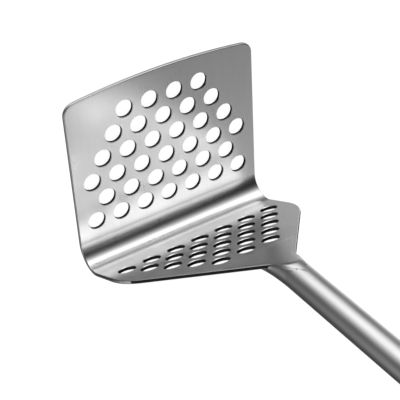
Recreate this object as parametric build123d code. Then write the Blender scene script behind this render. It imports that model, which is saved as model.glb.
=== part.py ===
"""Potato masher: a folded, perforated steel blade on a tube stem with a round grip and a hanging loop.

Frame: the origin is on the stem's axis, on the underside of the mashing plate.
+Z runs up the stem, +Y points to the plate's free edge and X runs across the plate.
"""
import math
import os

from build123d import *

# Driving dimensions, in millimetres and degrees.
SHEET = 1.7              # thickness of the blade's sheet
BLADE_HALF_WIDTH = 46.5
FOLD_Y = -38.2           # where the middle planes of the plate and the bracket would meet
FREE_EDGE_Y = 49.2       # middle of the plate's bowed free edge
FREE_EDGE_RADIUS = 330.0
PLATE_CORNER = 5.6
BRACKET_RISE = 65.8      # angle between the plate and the bracket above it
BEND_INNER_RADIUS = 8.5
EDGE_ROUND = 0.45        # polished round on the blade's cut edges
RIM_CHAMFER = 0.2        # deburred rims of the holes

HOLE_RADIUS = 4.1
HOLE_PITCH = 12.4
ROW_STEP = 10.0
PLATE_FIRST_ROW = 24.0   # distance from the fold line to the first row in the plate
PLATE_ROWS = (7, 6, 7, 6, 5, 4)
BRACKET_FIRST_ROW = 27.6
BRACKET_ROWS = (7, 6, 5, 4, 3)

SHOULDER_REACH = 40.5    # distance from the fold line to the bracket's shoulder corners
SHOULDER_RADIUS = 30.0
TAPER_REACH = 104.4      # where the two tapering sides would meet
NECK_FILLET = 17.0
NECK_SPREAD = 0.15       # how far the tongue and the weld stand out beyond the stem
NOSE_RADIUS = 38.0       # soft round where the bracket runs into the front of the stem

WELD_RADIUS = 3.5        # hollow of the weld between the bracket's back and the stem
WELD_SETBACK = 0.15      # how far the weld's front stays behind the soft nose

STEM_RADIUS = 6.0
STEM_WALL = 1.0
STEM_TOP = 192.0

GRIP_RADIUS = 10.0
GRIP_WALL = 1.0
FERRULE_BOTTOM = 168.0
FERRULE_TOP = 184.0
FERRULE_LIP = 0.9        # wall of the ferrule's narrow end, around the stem
GRIP_TOP = 280.0
BUSH_LENGTH = 5.0
SEAM_WIDTH = 1.6         # width of the polished seam welds
SEAM_DEPTH = 0.6
WELD_LEG = 1.6           # leg of the small fillet weld under the ferrule
CAP_SPIGOT = 8.0
CAP_RIM = 8.0            # straight length of the cap above the grip tube
CAP_DOME = 2.6           # rise of the cap's domed end
CAP_EDGE = 1.6

WIRE_RADIUS = 1.25
PIN_CLEARANCE = 0.05     # radial play of the loop's ends in the cap
PIN_DEPTH = 5.5          # depth of the two blind holes in the cap
PIN_END_GAP = 0.4
HINGE_Z = GRIP_TOP + 4.4
LOOP_HALF_WIDTH = 12.7   # from the stem's axis to the middle of each leg
LOOP_REACH = 38.0        # from the hinge to the middle of the loop's crown
LOOP_SHOULDER = 2.5
LOOP_GAP = 0.3           # space left between the hanging loop and the grip

# Values that follow from the driving dimensions.
HALF_SHEET = SHEET / 2
BROAD_FACE = 4 * BLADE_HALF_WIDTH * SHEET   # a blade face larger than this is no cut edge
BEND_RADIUS = BEND_INNER_RADIUS + HALF_SHEET
BEND_TURN = 180 - BRACKET_RISE
BEND_TANGENT = BEND_RADIUS * math.tan(math.radians(BEND_TURN / 2))
RISE_COS = math.cos(math.radians(BRACKET_RISE))
RISE_SIN = math.sin(math.radians(BRACKET_RISE))
BRACKET_PLANE = Plane(
    origin=(0, FOLD_Y, HALF_SHEET), x_dir=(1, 0, 0), z_dir=(0, -RISE_SIN, RISE_COS)
)
AXIS_REACH = -FOLD_Y / RISE_COS   # from the fold line to the stem's axis, up the bracket
LOOP_LEAN = math.degrees(math.asin((GRIP_RADIUS + WIRE_RADIUS + LOOP_GAP) / LOOP_REACH))


def hole_rows(first_row, rows):
    """Centres of staggered rows of holes, as (across, distance from the fold line)."""
    centres = []
    for row, count in enumerate(rows):
        for place in range(count):
            across = (place - (count - 1) / 2) * HOLE_PITCH
            centres.append((across, first_row + row * ROW_STEP))
    return centres


def holes_face(first_row, rows, base):
    """All the holes of one side of the blade as circles; base is the fold line's y."""
    circles = [Pos(x, base + y) * Circle(HOLE_RADIUS) for x, y in hole_rows(first_row, rows)]
    return Sketch() + circles


def mashing_plate():
    """The flat plate from the bend to its bowed free edge, with its holes."""
    start_y = FOLD_Y + BEND_TANGENT
    bow_drop = FREE_EDGE_RADIUS - math.sqrt(FREE_EDGE_RADIUS**2 - BLADE_HALF_WIDTH**2)
    side_y = FREE_EDGE_Y - bow_drop
    left, right = -BLADE_HALF_WIDTH, BLADE_HALF_WIDTH
    outline = Polyline((left, side_y), (left, start_y), (right, start_y), (right, side_y))
    bow = ThreePointArc((right, side_y), (0, FREE_EDGE_Y), (left, side_y))
    face = make_face(outline + bow)
    free_corners = face.vertices().sort_by(Axis.Y)[-2:]
    face = fillet(free_corners, PLATE_CORNER)
    face -= holes_face(PLATE_FIRST_ROW, PLATE_ROWS, FOLD_Y)
    return extrude(face, SHEET)


def bend():
    """The rolled bend between the plate and the bracket."""
    start_y = FOLD_Y + BEND_TANGENT
    section = Plane.XZ.offset(-start_y) * Pos(0, HALF_SHEET) * Rectangle(2 * BLADE_HALF_WIDTH, SHEET)
    bend_axis = Axis((0, start_y, HALF_SHEET + BEND_RADIUS), (-1, 0, 0))
    return revolve(section, bend_axis, BEND_TURN)


def stem_section(lift, spread):
    """The oval where a bar thicker than the stem by spread meets a plane lift above the bracket's."""
    centre = AXIS_REACH + lift * RISE_SIN / RISE_COS
    radius = STEM_RADIUS + spread
    return Pos(0, centre) * Ellipse(radius, radius / RISE_COS)


def bracket_outline():
    """Plan of the bracket in its own plane: straight sides, round shoulders, tapering to the neck."""
    start = BEND_TANGENT
    taper = Polyline(
        (-BLADE_HALF_WIDTH, start),
        (BLADE_HALF_WIDTH, start),
        (BLADE_HALF_WIDTH, SHOULDER_REACH),
        (0, TAPER_REACH),
        (-BLADE_HALF_WIDTH, SHOULDER_REACH),
        close=True,
    )
    face = make_face(taper)
    shoulders = face.vertices().filter_by_position(Axis.Y, SHOULDER_REACH - 1, SHOULDER_REACH + 1)
    face = fillet(shoulders, SHOULDER_RADIUS)
    # The slanted mouth of the stem, where the sheet's inner plane cuts it.
    face += stem_section(-HALF_SHEET, NECK_SPREAD)
    neck = face.vertices().filter_by_position(Axis.Y, AXIS_REACH, TAPER_REACH)
    neck = neck.filter_by(lambda vertex: abs(vertex.X) > STEM_RADIUS / 2)
    return fillet(neck, NECK_FILLET)


def stem_core(spread=0.0):
    """A solid bar as thick as the stem, or thicker by spread."""
    return extrude(Circle(STEM_RADIUS + spread), STEM_TOP)


def nose_offcut():
    """The sliver ground away where the bracket's inner face turns softly up into the stem's front."""
    turn = math.radians(90 - BRACKET_RISE)
    tangent = NOSE_RADIUS * math.tan(turn / 2)
    face_y = FOLD_Y + HALF_SHEET * RISE_SIN
    face_z = HALF_SHEET - HALF_SHEET * RISE_COS
    corner_z = face_z + (STEM_RADIUS - face_y) * RISE_SIN / RISE_COS
    on_face = Vector(0, STEM_RADIUS - tangent * RISE_COS, corner_z - tangent * RISE_SIN)
    on_stem = Vector(0, STEM_RADIUS, corner_z + tangent)
    middle = Vector(
        0,
        STEM_RADIUS - NOSE_RADIUS * (1 - math.cos(turn / 2)),
        on_stem.Z - NOSE_RADIUS * math.sin(turn / 2),
    )
    outside = Polyline(
        on_stem,
        Vector(0, STEM_RADIUS, STEM_TOP),
        Vector(0, 2 * STEM_RADIUS, STEM_TOP),
        on_face + Vector(0, RISE_SIN, -RISE_COS) * STEM_RADIUS,
        on_face,
    )
    face = make_face(ThreePointArc(on_face, middle, on_stem) + outside)
    return extrude(face, 2 * STEM_RADIUS, dir=(1, 0, 0), both=True)


def bracket_slab(thickness, lift=0.0):
    """A slab along the bracket's plane, from lift above its middle plane."""
    size = 4 * TAPER_REACH
    return extrude(BRACKET_PLANE.offset(lift) * Rectangle(size, size), thickness)


def bracket():
    """The sloping bracket with its holes."""
    face = bracket_outline() - holes_face(BRACKET_FIRST_ROW, BRACKET_ROWS, 0)
    return extrude(BRACKET_PLANE.offset(-HALF_SHEET) * face, SHEET)


def rims(blade, of_holes):
    """The blade's edges between its broad faces and its cut edges: those of its holes, or all others."""
    counts = {}
    for face in blade.faces().filter_by(lambda face: face.area > BROAD_FACE):
        for edge in face.edges():
            counts[edge] = counts.get(edge, 0) + 1
    chosen = []
    for edge, count in counts.items():
        round_edge = edge.geom_type == GeomType.CIRCLE
        is_hole = round_edge and math.isclose(edge.radius, HOLE_RADIUS, abs_tol=1e-6)
        if count == 1 and is_hole == of_holes:
            chosen.append(edge)
    return chosen


def masher_blade():
    """The whole folded blade, in one piece, with its edges rounded and its holes deburred.

    The tongue at the bracket's tip closes the stem's slanted mouth.
    """
    blade = mashing_plate() + bend() + bracket()
    blade = fillet(rims(blade, of_holes=False), EDGE_ROUND)
    blade = chamfer(rims(blade, of_holes=True), RIM_CHAMFER)
    tongue = stem_core(NECK_SPREAD) & bracket_slab(SHEET, -HALF_SHEET)
    return blade + tongue - nose_offcut()


def stem_tube():
    """The round tube, cut on a slant along the back of the bracket."""
    tube = stem_core() - extrude(Circle(STEM_RADIUS - STEM_WALL), STEM_TOP)
    return tube - bracket_slab(-2 * STEM_TOP, HALF_SHEET) - nose_offcut()


def neck_weld():
    """The polished weld that fills the corner between the stem and the back of the bracket."""
    bar = stem_core() - bracket_slab(-2 * STEM_TOP, HALF_SHEET)
    joined = bar + bracket_slab(-SHEET, HALF_SHEET)
    corner = joined.edges().filter_by(GeomType.ELLIPSE)
    bead = fillet(corner, WELD_RADIUS) - bracket_slab(-2 * STEM_TOP, HALF_SHEET) - stem_core()
    over_bracket = extrude(BRACKET_PLANE * bracket_outline(), 2 * STEM_RADIUS)
    bead &= over_bracket + stem_core(NECK_SPREAD)
    return bead - Pos(0, -WELD_SETBACK, 0) * nose_offcut()


def turned(profile):
    """A body turned about the stem's axis; profile is a list of (radius, height)."""
    face = make_face(Polyline(*[(radius, 0, height) for radius, height in profile], close=True))
    return revolve(face, Axis.Z)


def seam_groove(radius, height):
    """Profile of a polished seam weld let into the joint of two equal tubes."""
    return [
        (radius, height - SEAM_WIDTH / 2),
        (radius, height + SEAM_WIDTH / 2),
        (radius - SEAM_DEPTH, height),
    ]


def ferrule_weld():
    """The small fillet weld between the stem and the ferrule's lower end."""
    rim = STEM_RADIUS + FERRULE_LIP
    return turned(
        [(STEM_RADIUS, FERRULE_BOTTOM), (rim, FERRULE_BOTTOM), (STEM_RADIUS, FERRULE_BOTTOM - WELD_LEG)]
    )


def grip_ferrule():
    """The conical shell that widens from the stem to the grip."""
    inner = GRIP_RADIUS - GRIP_WALL
    shell = turned(
        [
            (STEM_RADIUS, FERRULE_BOTTOM),
            (STEM_RADIUS + FERRULE_LIP, FERRULE_BOTTOM),
            (GRIP_RADIUS, FERRULE_TOP - 3.0),
            (GRIP_RADIUS, FERRULE_TOP),
            (inner, FERRULE_TOP),
            (inner, FERRULE_TOP - 3.0),
            (STEM_RADIUS, FERRULE_BOTTOM + 2.0),
        ]
    )
    return shell - turned(seam_groove(GRIP_RADIUS, FERRULE_TOP))


def grip_tube():
    """The round grip."""
    tube = Circle(GRIP_RADIUS) - Circle(GRIP_RADIUS - GRIP_WALL)
    tube = Pos(0, 0, FERRULE_TOP) * extrude(tube, GRIP_TOP - FERRULE_TOP)
    for height in (FERRULE_TOP, GRIP_TOP):
        tube -= turned(seam_groove(GRIP_RADIUS, height))
    return tube


def centring_bush():
    """The ring inside the grip that holds the stem's upper end in the middle."""
    ring = Circle(GRIP_RADIUS - GRIP_WALL) - Circle(STEM_RADIUS)
    return Pos(0, 0, STEM_TOP - BUSH_LENGTH) * extrude(ring, BUSH_LENGTH)


def end_cap():
    """The solid domed cap with a spigot in the grip tube and two blind holes for the loop."""
    rim_top = GRIP_TOP + CAP_RIM
    spigot = GRIP_RADIUS - GRIP_WALL
    outline = Polyline(
        (0, 0, GRIP_TOP - CAP_SPIGOT),
        (spigot, 0, GRIP_TOP - CAP_SPIGOT),
        (spigot, 0, GRIP_TOP),
        (GRIP_RADIUS, 0, GRIP_TOP),
        (GRIP_RADIUS, 0, rim_top),
    )
    dome_radius = (GRIP_RADIUS**2 + CAP_DOME**2) / (2 * CAP_DOME)
    half_way = GRIP_RADIUS / 2
    half_rise = CAP_DOME - dome_radius + math.sqrt(dome_radius**2 - half_way**2)
    dome = ThreePointArc(
        (GRIP_RADIUS, 0, rim_top), (half_way, 0, rim_top + half_rise), (0, 0, rim_top + CAP_DOME)
    )
    close = Line((0, 0, rim_top + CAP_DOME), (0, 0, GRIP_TOP - CAP_SPIGOT))
    cap = revolve(make_face(outline + dome + close), Axis.Z)
    cap = fillet(cap.edges().filter_by_position(Axis.Z, rim_top - 0.01, rim_top + 0.01), CAP_EDGE)
    cap -= turned(seam_groove(GRIP_RADIUS, GRIP_TOP))
    hole = extrude(Circle(WIRE_RADIUS + PIN_CLEARANCE), PIN_DEPTH + 1)
    for side in (-1, 1):
        mouth = Plane(origin=(side * (GRIP_RADIUS + 1), 0, HINGE_Z), z_dir=(-side, 0, 0))
        cap -= mouth * hole
    return cap


def hanging_loop():
    """The wire loop, hanging beside the grip with its ends turned in to the cap."""
    pin_end = GRIP_RADIUS - PIN_DEPTH + PIN_END_GAP
    leg_end = HINGE_Z - LOOP_REACH
    crown = LOOP_HALF_WIDTH - 0.1
    path = FilletPolyline(
        (-pin_end, 0, HINGE_Z),
        (-LOOP_HALF_WIDTH, 0, HINGE_Z),
        (-LOOP_HALF_WIDTH, 0, leg_end),
        (LOOP_HALF_WIDTH, 0, leg_end),
        (LOOP_HALF_WIDTH, 0, HINGE_Z),
        (pin_end, 0, HINGE_Z),
        radius=(LOOP_SHOULDER, crown, crown, LOOP_SHOULDER),
    )
    section = Plane(origin=(-pin_end, 0, HINGE_Z), z_dir=(-1, 0, 0)) * Circle(WIRE_RADIUS)
    wire = sweep(section, path=path)
    return wire.rotate(Axis((0, 0, HINGE_Z), (1, 0, 0)), -LOOP_LEAN)


PARTS = {
    "masher_blade": masher_blade,
    "neck_weld": neck_weld,
    "stem_tube": stem_tube,
    "ferrule_weld": ferrule_weld,
    "grip_ferrule": grip_ferrule,
    "grip_seam_weld": lambda: turned(seam_groove(GRIP_RADIUS, FERRULE_TOP)),
    "grip_tube": grip_tube,
    "centring_bush": centring_bush,
    "end_cap": end_cap,
    "cap_seam_weld": lambda: turned(seam_groove(GRIP_RADIUS, GRIP_TOP)),
    "hanging_loop": hanging_loop,
}

os.makedirs("parts", exist_ok=True)
for name, make in PARTS.items():
    export_step(make(), f"parts/{name}.step")
swing = 360 - 2 * LOOP_LEAN
print(f"hinge height {HINGE_Z:.3f} mm, lean {LOOP_LEAN:.3f} deg, loop swing {swing:.3f} deg")
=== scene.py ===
"""Looks of the potato masher: brushed steel, a pale floor and soft studio light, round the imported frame."""
import math

import bmesh
import bpy
from mathutils import Matrix, Vector


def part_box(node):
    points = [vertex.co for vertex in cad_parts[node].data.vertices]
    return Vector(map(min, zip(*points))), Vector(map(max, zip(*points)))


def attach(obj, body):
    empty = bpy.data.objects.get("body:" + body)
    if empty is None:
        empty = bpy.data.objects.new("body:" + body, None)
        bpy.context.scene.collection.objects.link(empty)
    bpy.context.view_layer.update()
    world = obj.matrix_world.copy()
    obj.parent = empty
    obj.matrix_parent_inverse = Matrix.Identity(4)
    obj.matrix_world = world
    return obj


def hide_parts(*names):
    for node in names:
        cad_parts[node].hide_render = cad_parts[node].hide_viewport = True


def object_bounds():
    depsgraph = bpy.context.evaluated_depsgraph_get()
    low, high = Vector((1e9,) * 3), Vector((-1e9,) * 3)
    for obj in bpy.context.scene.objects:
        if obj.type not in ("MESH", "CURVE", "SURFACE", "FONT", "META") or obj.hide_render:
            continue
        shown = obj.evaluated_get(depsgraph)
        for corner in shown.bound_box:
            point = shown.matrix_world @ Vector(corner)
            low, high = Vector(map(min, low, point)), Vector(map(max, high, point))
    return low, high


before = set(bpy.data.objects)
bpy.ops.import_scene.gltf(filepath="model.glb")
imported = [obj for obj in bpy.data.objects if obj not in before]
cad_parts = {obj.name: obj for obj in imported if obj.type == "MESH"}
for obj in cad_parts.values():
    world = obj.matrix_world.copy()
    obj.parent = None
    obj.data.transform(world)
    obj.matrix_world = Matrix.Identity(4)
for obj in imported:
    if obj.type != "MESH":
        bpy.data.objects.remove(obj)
cad_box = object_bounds()

# The camera, in the CAD frame, in metres.
CAMERA_PLACE = Vector((-0.2154, 0.2936, 0.3897))
CAMERA_RIGHT = Vector((0.8394, -0.0505, 0.5411))
CAMERA_BACK = Vector((-0.4175, 0.5774, 0.7016))
CAMERA_LENS = 108.1      # millimetres on a 36 mm sensor
SENSOR = 36.0
CLIP_NEAR = 0.01
CLIP_FAR = 50.0

BRACKET_RISE = math.radians(65.8)   # slope of the bracket above the plate
SHEET = 0.0017           # thickness of the folded sheet
SKIN_PROUD = 0.0001      # how far the neck's skin stands out at its foot; it sinks in as far at its top
SKIN_LOW = 0.005         # how far the polished neck reaches below the stem's heel
SKIN_RISE = 0.048        # and how far above it
SKIN_VOXEL = 0.0004
SKIN_SMOOTHING = 45      # passes of smoothing after the remesh
WELD_DISTANCE = 1e-6     # the blade's points this close together are one
CUT_DISTANCE = 1e-7
FLARE = 0.0032           # how much wider than the stem the neck is at the stem's heel
FLARE_TOP = 0.106        # height at which the flare has run out into the stem
BAR_RINGS = 24
BAR_SIDES = 96

FLOOR_HALF_SIDE = 4.0
FLOOR_DROP = 0.0002      # the floor lies this far under the plate, so that the two never share a plane
FLOOR_TONE = (0.8, 0.8, 0.8, 1.0)
FLOOR_ROUGHNESS = 0.9
FLOOR_GLOW = 0.9

WHITE = (1.0, 1.0, 1.0, 1.0)
# painted shade: the near-black colour of the holes' walls stands in for the shade in the holes
WALL_PAINTED_SHADE = (0.05, 0.05, 0.05, 1.0)
WALL_EXTRA_ROUGHNESS = 0.2
BRACKET_HOLES_LOW = 0.018    # every hole of the bracket lies above this height
HOLES_HALF_WIDTH = 0.0435    # every hole lies within this much of the middle
HOLES_END = 0.043            # every hole lies short of this along Y

EDGE_REACH = 0.0007          # how far handling has polished the steel from its edges
WEAR_POLISH = 0.35           # share of the roughness that the handling takes off there
GRAIN_RANGE = (0.3, 0.7)     # the grain's noise, from its low to its high
GRAIN_DARKEST = 0.94         # shares of the steel's tone and roughness at those two ends
GRAIN_LIGHTEST = 1.05
GRAIN_SMOOTHEST = 0.92
GRAIN_ROUGHEST = 1.08
CLOUD_SCALE = (55.0, 55.0, 55.0)
CLOUD_ROUGHNESS = 0.02
SCRATCH_DEPTH = -0.12
SCRATCH_ROUGHNESS = 0.03
BUMP_DISTANCE = 0.00002


def camera():
    """The camera at the photograph's place, with a long lens and everything in focus."""
    data = bpy.data.cameras.new("camera")
    data.lens = CAMERA_LENS
    data.sensor_width = SENSOR
    data.clip_start = CLIP_NEAR
    data.clip_end = CLIP_FAR
    made = bpy.data.objects.new("camera", data)
    right = CAMERA_RIGHT.normalized()
    back = (CAMERA_BACK - CAMERA_BACK.dot(right) * right).normalized()
    up = back.cross(right)
    made.matrix_world = Matrix.LocRotScale(
        CAMERA_PLACE, Matrix((right, up, back)).transposed().to_quaternion(), None
    )
    bpy.context.scene.collection.objects.link(made)
    bpy.context.scene.camera = made


class Shader:
    """A node tree under construction: each call adds one node, wired to values or to other nodes' outputs."""

    def __init__(self, tree):
        tree.nodes.clear()
        self.tree = tree

    def add(self, kind, settings=None, **inputs):
        """Adds a node; spaces in an input's name are written as underscores, and _2 is its third input."""
        node = self.tree.nodes.new(kind)
        for key, value in (settings or {}).items():
            setattr(node, key, value)
        for key, value in inputs.items():
            place = int(key[1:]) if key[1:].isdigit() else key.replace("_", " ")
            socket = node.inputs[place]
            if isinstance(value, bpy.types.NodeSocket):
                self.tree.links.new(value, socket)
            else:
                socket.default_value = value
        return node.outputs

    def dot(self, first, second):
        """The dot product of two vectors: the cosine between them when both have length 1."""
        return self.add("ShaderNodeVectorMath", {"operation": "DOT_PRODUCT"}, _0=first, _1=second)["Value"]

    def noise(self, vector, scale, detail=3.0, roughness=0.5):
        """Soft procedural noise; scale holds the features per metre along X, Y and Z."""
        mapped = self.add("ShaderNodeMapping", Vector=vector, Scale=scale)[0]
        return self.add("ShaderNodeTexNoise", Vector=mapped, Scale=1.0, Detail=detail, Roughness=roughness)[0]

    def remap(self, value, low, high, to_low, to_high):
        """Value from low..high to to_low..to_high, held at the ends."""
        return self.add(
            "ShaderNodeMapRange",
            _0=value,
            _1=low,
            _2=high,
            _3=to_low,
            _4=to_high,
        )[0]

    def blend(self, share, low, high):
        """A colour between low and high."""
        return self.add("ShaderNodeMix", {"data_type": "RGBA"}, _0=share, _6=low, _7=high)[2]

    def math(self, operation, *values):
        """One step of arithmetic on values or outputs."""
        inputs = {f"_{place}": value for place, value in enumerate(values)}
        return self.add("ShaderNodeMath", {"operation": operation}, **inputs)[0]


def edge_wear(shader, reach):
    """1 on the edges, where handling has polished the steel, and 0 on the faces."""
    rounded = shader.add("ShaderNodeBevel", {"samples": 6}, Radius=reach)[0]
    normal = shader.add("ShaderNodeNewGeometry")["Normal"]
    cosine = shader.dot(rounded, normal)
    return shader.remap(cosine, 0.99, 0.90, 0.0, 1.0)


def punched_walls(shader):
    """1 on the walls of the blade's punched holes, which get painted shade and extra roughness, and 0 on its
    faces and outer edges.
    """
    coordinates = shader.add("ShaderNodeTexCoord")
    place = shader.add("ShaderNodeSeparateXYZ", Vector=coordinates["Object"])
    facing = coordinates["Normal"]

    def away_from(normal):
        cosine = shader.dot(facing, normal)
        return shader.remap(shader.math("ABSOLUTE", cosine), 0.25, 0.55, 1.0, 0.0)

    on_plate = away_from((0.0, 0.0, 1.0))
    on_bracket = away_from((0.0, math.sin(BRACKET_RISE), -math.cos(BRACKET_RISE)))
    in_plate = shader.math("LESS_THAN", place["Z"], SHEET)
    in_bracket = shader.math("GREATER_THAN", place["Z"], BRACKET_HOLES_LOW)
    inside = shader.math("LESS_THAN", shader.math("ABSOLUTE", place["X"]), HOLES_HALF_WIDTH)
    short = shader.math("LESS_THAN", place["Y"], HOLES_END)
    plate_wall = shader.math("MULTIPLY", on_plate, in_plate)
    bracket_wall = shader.math("MULTIPLY", on_bracket, in_bracket)
    wall = shader.math("ADD", plate_wall, bracket_wall)
    return shader.math("MULTIPLY", wall, shader.math("MULTIPLY", inside, short))


def steel(
    name,
    across,
    along,
    tone,
    roughness,
    anisotropy=0.0,
    tangent=None,
    grain_depth=0.2,
    walls=None,
):
    """Satin stainless steel with a brushed grain; walls, when given, picks out hole walls that get painted
    shade.

    across gives the fine streaks and along the broad ones, as features per metre in X, Y and Z.
    """
    material = bpy.data.materials.new(name)
    material.use_nodes = True
    shader = Shader(material.node_tree)
    place = shader.add("ShaderNodeTexCoord")["Object"]

    fine = shader.noise(place, across, detail=4.0, roughness=0.65)
    broad = shader.noise(place, along, detail=3.0, roughness=0.55)
    cloud = shader.noise(place, CLOUD_SCALE, detail=2.0)
    scratch_scale = [value * 0.6 for value in across]
    scratch = shader.remap(shader.noise(place, scratch_scale, detail=1.0), 0.74, 0.82, 0.0, 1.0)
    wear = edge_wear(shader, EDGE_REACH)

    grain = shader.math("ADD", shader.math("MULTIPLY", fine, 0.75), shader.math("MULTIPLY", broad, 0.25))
    low = [tone * GRAIN_DARKEST] * 3 + [1.0]
    high = [tone * GRAIN_LIGHTEST] * 3 + [1.0]
    colour = shader.blend(shader.remap(grain, *GRAIN_RANGE, 0.0, 1.0), low, high)
    rough = shader.remap(grain, *GRAIN_RANGE, roughness * GRAIN_SMOOTHEST, roughness * GRAIN_ROUGHEST)
    rough = shader.math("ADD", rough, shader.remap(cloud, 0.35, 0.65, -CLOUD_ROUGHNESS, CLOUD_ROUGHNESS))
    rough = shader.math("SUBTRACT", rough, shader.math("MULTIPLY", wear, roughness * WEAR_POLISH))
    rough = shader.math("ADD", rough, shader.math("MULTIPLY", scratch, SCRATCH_ROUGHNESS))
    if walls:
        # painted shade: the holes' walls are darkened almost to black; their extra roughness is the real
        # roughness of cut steel
        painted_shade_and_shear = walls(shader)
        colour = shader.blend(painted_shade_and_shear, colour, WALL_PAINTED_SHADE)
        rough = shader.math("ADD", rough, shader.math("MULTIPLY", painted_shade_and_shear, WALL_EXTRA_ROUGHNESS))
    height = shader.math("ADD", fine, shader.math("MULTIPLY", scratch, SCRATCH_DEPTH))
    bump = shader.add("ShaderNodeBump", Strength=grain_depth, Distance=BUMP_DISTANCE, Height=height)[0]

    inputs = dict(
        Base_Color=colour,
        Metallic=1.0,
        Roughness=rough,
        Normal=bump,
        Anisotropic=anisotropy,
    )
    if tangent:
        inputs["Tangent"] = tangent(shader)
    surface = shader.add("ShaderNodeBsdfPrincipled", **inputs)[0]
    shader.add("ShaderNodeOutputMaterial", Surface=surface)
    return material


def across_sheet(shader):
    """The direction across the folded sheet, the same on the plate, the bend and the bracket."""
    return shader.add("ShaderNodeCombineXYZ", X=1.0, Y=0.0, Z=0.0)[0]


def round_stem(shader):
    """The direction round the stem's axis."""
    return shader.add("ShaderNodeTangent", {"direction_type": "RADIAL", "axis": "Z"})[0]


def cut(shape, point, outward):
    """Cuts away what lies beyond a plane, and closes the cut."""
    everything = shape.verts[:] + shape.edges[:] + shape.faces[:]
    made = bmesh.ops.bisect_plane(
        shape, geom=everything, dist=CUT_DISTANCE, plane_co=point, plane_no=outward, clear_outer=True
    )
    rim = [part for part in made["geom_cut"] if isinstance(part, bmesh.types.BMEdge)]
    bmesh.ops.triangle_fill(shape, use_beauty=True, edges=rim)


def flared_bar(radius, low, heel, high):
    """A closed round bar that widens smoothly down to the stem's heel, and narrows again below it."""
    bar = bmesh.new()
    below = None
    for ring in range(BAR_RINGS + 1):
        height = low + (high - low) * ring / BAR_RINGS
        if height < heel:
            share = (height - low) / (heel - low)
        else:
            share = max(0.0, (FLARE_TOP - height) / (FLARE_TOP - heel)) ** 3
        fade = (height - low) / (high - low)
        wide = radius + FLARE * share + SKIN_PROUD * (1 - 2 * fade)
        turn = [math.tau * place / BAR_SIDES for place in range(BAR_SIDES)]
        loop = [bar.verts.new((wide * math.cos(a), wide * math.sin(a), height)) for a in turn]
        if below is None:
            bar.faces.new(loop[::-1])
        else:
            for place in range(BAR_SIDES):
                after = (place + 1) % BAR_SIDES
                bar.faces.new((below[place], below[after], loop[after], loop[place]))
        below = loop
    bar.faces.new(below)
    return bar


def neck_skin(finish):
    """The ground and polished weld: one smooth skin over the neck, where the bracket flows into the stem."""
    stem_low, stem_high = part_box("stem_tube")
    radius = stem_high.x
    heel = Vector((0.0, -radius, stem_low.z))
    inward = Vector((0.0, math.sin(BRACKET_RISE), -math.cos(BRACKET_RISE)))

    tip = bmesh.new()
    tip.from_mesh(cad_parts["masher_blade"].data)
    bmesh.ops.remove_doubles(tip, verts=tip.verts, dist=WELD_DISTANCE)
    cut(tip, heel - Vector((0.0, 0.0, SKIN_LOW)), Vector((0.0, 0.0, -1.0)))
    tip.normal_update()
    for vertex in tip.verts:
        vertex.co += vertex.normal * SKIN_PROUD

    bar = flared_bar(radius, heel.z - SKIN_LOW, heel.z, heel.z + SKIN_RISE)
    cut(bar, heel + inward * (SHEET + SKIN_PROUD), inward)

    mesh = bpy.data.meshes.new("neck_parts")
    tip.to_mesh(mesh)
    shape = bmesh.new()
    shape.from_mesh(mesh)
    bar.to_mesh(mesh)
    shape.from_mesh(mesh)
    shape.to_mesh(mesh)
    for used in (tip, bar, shape):
        used.free()

    rough = bpy.data.objects.new("neck_parts", mesh)
    bpy.context.scene.collection.objects.link(rough)
    remesh = rough.modifiers.new("remesh", "REMESH")
    remesh.mode = "VOXEL"
    remesh.voxel_size = SKIN_VOXEL
    smooth = rough.modifiers.new("smooth", "SMOOTH")
    smooth.factor = 0.5
    smooth.iterations = SKIN_SMOOTHING
    bpy.context.view_layer.update()
    settled = rough.evaluated_get(bpy.context.evaluated_depsgraph_get())
    skin_mesh = bpy.data.meshes.new_from_object(settled)
    skin_mesh.name = "neck_skin"
    bpy.data.objects.remove(rough)
    skin_mesh.shade_smooth()
    skin_mesh.materials.clear()
    skin_mesh.materials.append(finish)
    skin = bpy.data.objects.new("neck_skin", skin_mesh)
    bpy.context.scene.collection.objects.link(skin)
    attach(skin, "masher")
    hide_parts("neck_weld")


def floor():
    """A pale floor that stays plain white, and isn't seen in the steel."""
    mesh = bpy.data.meshes.new("floor")
    side = FLOOR_HALF_SIDE
    corners = [(-side, -side, 0.0), (side, -side, 0.0), (side, side, 0.0), (-side, side, 0.0)]
    mesh.from_pydata(corners, [], [(0, 1, 2, 3)])
    made = bpy.data.objects.new("floor", mesh)
    made.location.z = cad_box[0].z - FLOOR_DROP
    made.visible_glossy = False
    made.visible_shadow = False
    bpy.context.scene.collection.objects.link(made)
    material = bpy.data.materials.new("pale_floor")
    material.use_nodes = True
    shader = Shader(material.node_tree)
    surface = shader.add(
        "ShaderNodeBsdfPrincipled",
        Base_Color=FLOOR_TONE,
        Roughness=FLOOR_ROUGHNESS,
        Emission_Color=WHITE,
        Emission_Strength=FLOOR_GLOW,
    )[0]
    shader.add("ShaderNodeOutputMaterial", Surface=surface)
    mesh.materials.append(material)


def studio_dome(lights, ambient):
    """Soft lamps on a far dome: each is (azimuth, elevation, strength), azimuth 0 being +X and 90 +Y."""
    world = bpy.data.worlds.new("studio")
    bpy.context.scene.world = world
    world.use_nodes = True
    shader = Shader(world.node_tree)
    towards = shader.add("ShaderNodeTexCoord")["Generated"]
    total = ambient
    for azimuth, elevation, strength in lights.values():
        a, e = math.radians(azimuth), math.radians(elevation)
        aim = (math.cos(e) * math.cos(a), math.cos(e) * math.sin(a), math.sin(e))
        cosine = shader.dot(towards, aim)
        fall = shader.math("MULTIPLY", shader.math("SUBTRACT", cosine, 1.0), LAMP_TIGHTNESS)
        glow = shader.math("MULTIPLY", shader.math("EXPONENT", fall), strength)
        total = shader.math("ADD", glow, total)
    surface = shader.add("ShaderNodeBackground", Color=WHITE, Strength=total)[0]
    shader.add("ShaderNodeOutputWorld", Surface=surface)


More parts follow.
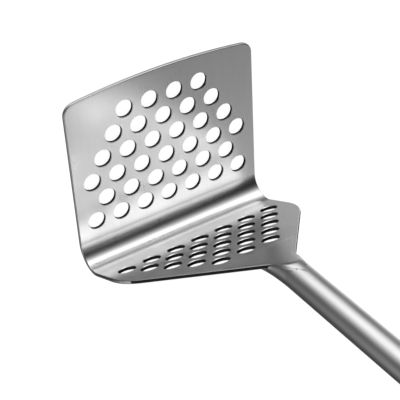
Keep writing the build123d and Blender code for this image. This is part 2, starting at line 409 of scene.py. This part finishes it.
LAMP_TIGHTNESS = 10.0    # one softness for every lamp: higher is smaller and harder-edged
AMBIENT = 0.01
STUDIO_LIGHTS = {
    "key": (70.0, 0.0, 2.0),
    "front_low": (100.0, -30.0, 1.2),
    "left_fill": (200.0, -10.0, 0.5),
    "left_high": (200.0, 40.0, 0.5),
    "back": (300.0, 20.0, 1.0),
    "back_low": (330.0, -40.0, 1.0),
}

SHEET_STEEL = steel(
    "sheet_steel",
    across=(5200.0, 70.0, 70.0),
    along=(420.0, 9.0, 9.0),
    tone=0.88,
    roughness=0.30,
    anisotropy=0.55,
    tangent=across_sheet,
    walls=punched_walls,
)
TUBE_STEEL = steel(
    "tube_steel",
    across=(3000.0, 3000.0, 60.0),
    along=(500.0, 500.0, 12.0),
    tone=0.88,
    roughness=0.32,
    anisotropy=0.4,
    tangent=round_stem,
)
WELD_STEEL = steel(
    "weld_steel",
    across=(1800.0, 1800.0, 1800.0),
    along=(300.0, 300.0, 300.0),
    tone=0.88,
    roughness=0.30,
)
TURNED_STEEL = steel(
    "turned_steel",
    across=(300.0, 300.0, 5000.0),
    along=(40.0, 40.0, 900.0),
    tone=0.88,
    roughness=0.28,
    grain_depth=0.08,
)
WIRE_STEEL = steel(
    "wire_steel",
    across=(2500.0, 2500.0, 300.0),
    along=(400.0, 400.0, 60.0),
    tone=0.90,
    roughness=0.16,
)

FINISHES = {
    "masher_blade": SHEET_STEEL,
    "neck_weld": WELD_STEEL,
    "stem_tube": TUBE_STEEL,
    "ferrule_weld": WELD_STEEL,
    "grip_ferrule": TURNED_STEEL,
    "grip_seam_weld": WELD_STEEL,
    "grip_tube": TUBE_STEEL,
    "centring_bush": TURNED_STEEL,
    "end_cap": TURNED_STEEL,
    "cap_seam_weld": WELD_STEEL,
    "hanging_loop": WIRE_STEEL,
}

for node_name, finish in FINISHES.items():
    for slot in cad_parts[node_name].material_slots:
        slot.material = finish

neck_skin(WELD_STEEL)
camera()
floor()
studio_dome(STUDIO_LIGHTS, AMBIENT)
bpy.context.scene.view_settings.view_transform = "Standard"
